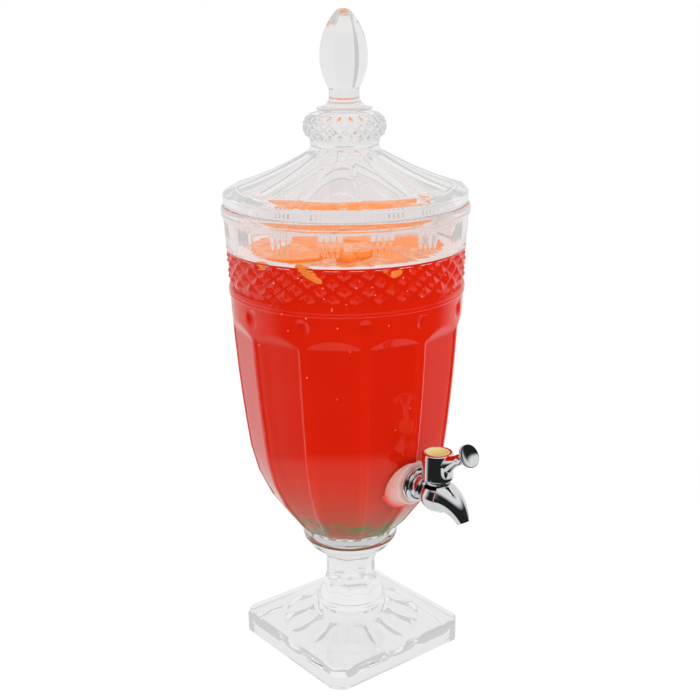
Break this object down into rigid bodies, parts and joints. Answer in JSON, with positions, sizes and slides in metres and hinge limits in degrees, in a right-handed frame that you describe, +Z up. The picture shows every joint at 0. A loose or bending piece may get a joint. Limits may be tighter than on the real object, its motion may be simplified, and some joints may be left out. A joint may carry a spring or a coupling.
{
  "type": "glass beverage dispenser",
  "caption": "Tall pressed-glass drink dispenser on a square pedestal, with a loose lid, a faceted finial and a quarter-turn lever tap.",
  "frame": {"origin": "centre of the square foot's underside, on the bowl's axis, in the plane that it rests on", "axes": "+Z up along the bowl's axis; the tap and its spout point along -Y; +X to the right for someone who faces the tap"},
  "size_m": [0.2004, 0.2514, 0.54],
  "materials": {
    "clear_glass": "clear pressed glass, fire-polished",
    "clear_bond": "clear cured adhesive",
    "chrome": "polished chrome plate",
    "gold": "satin gold colour",
    "soft_washer": "translucent silicone",
    "seal_rubber": "black nitrile",
    "nylon": "natural nylon",
    "brass": "turned brass",
    "steel": "plain stainless steel"
  },
  "bodies": {
    "dispenser": {"pedestal": "clear_glass", "stem_bond": "clear_bond", "bowl": "clear_glass", "outer_washer": "soft_washer", "tap_flange": "chrome", "tap_body": "chrome", "inner_washer": "soft_washer", "slip_washer": "nylon", "lock_nut": "chrome", "thrust_washer": "nylon", "bonnet_nut": "chrome"},
    "handle": {"lever_handle": "chrome", "cap_disc": "gold", "handle_screw": "steel", "spring_washer": "steel", "valve_plug": "brass", "plug_seal_lower": "seal_rubber", "plug_seal_upper": "seal_rubber"},
    "lid": {"lid": "clear_glass"}
  },
  "joints": [
    {"name": "handle_turn", "type": "hinge", "parent": "dispenser", "child": "handle", "pos_m": [0, -0.1115, 0.173], "axis": [0, 0, 1], "range_deg": [-90, 90]},
    {"name": "lid_lift", "type": "slide", "parent": "dispenser", "child": "lid", "axis": [0, 0, 1], "range_m": [0, 0.12]}
  ]
}
